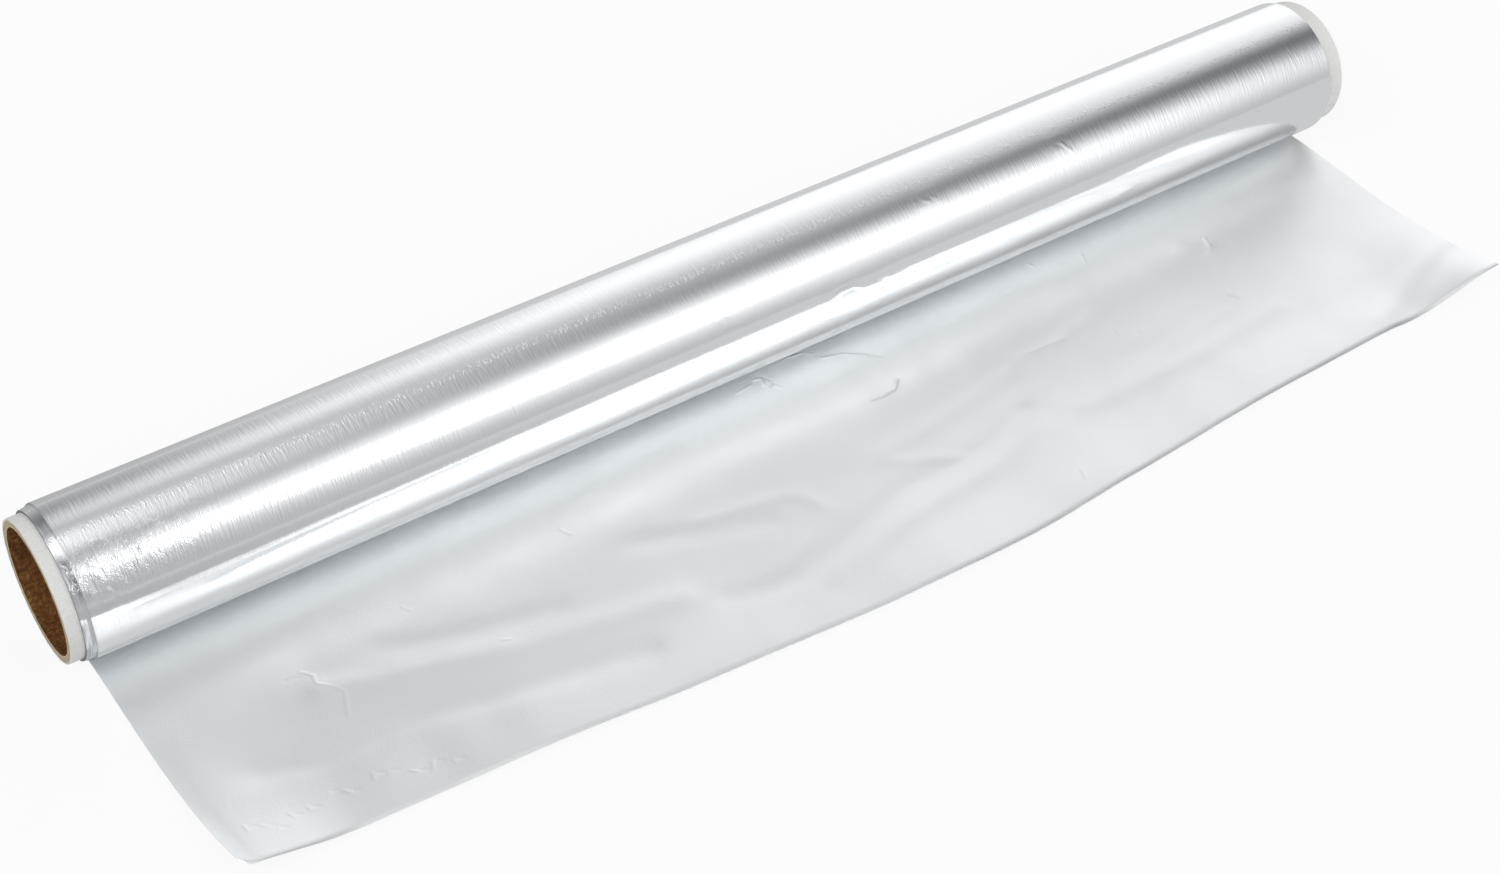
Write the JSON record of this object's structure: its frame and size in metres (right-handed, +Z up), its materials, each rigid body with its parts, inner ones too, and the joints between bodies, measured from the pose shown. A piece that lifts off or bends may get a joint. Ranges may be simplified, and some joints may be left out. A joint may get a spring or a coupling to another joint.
{
  "type": "aluminium foil roll",
  "caption": "Household aluminium foil wound on a board core that shows at both ends, lying on its side with the free end of the foil pulled out flat.",
  "frame": {"origin": "on the roll's axis, at the middle of the core's length; the table is one roll radius, 15.37 mm, below it", "axes": "+X along the roll, +Z up, and the free end of the foil lies on the table towards -Y"},
  "size_m": [0.3096, 0.0912, 0.0308],
  "materials": {
    "kraft_board": "matte, fibrous",
    "white_paper": "matte",
    "foil": "bright rolled on the roll, satin on the pulled-out sheet"
  },
  "bodies": {
    "root": {"core_tube": "kraft_board", "core_outer_ply": "white_paper", "foil_web": "foil"}
  },
  "joints": []
}
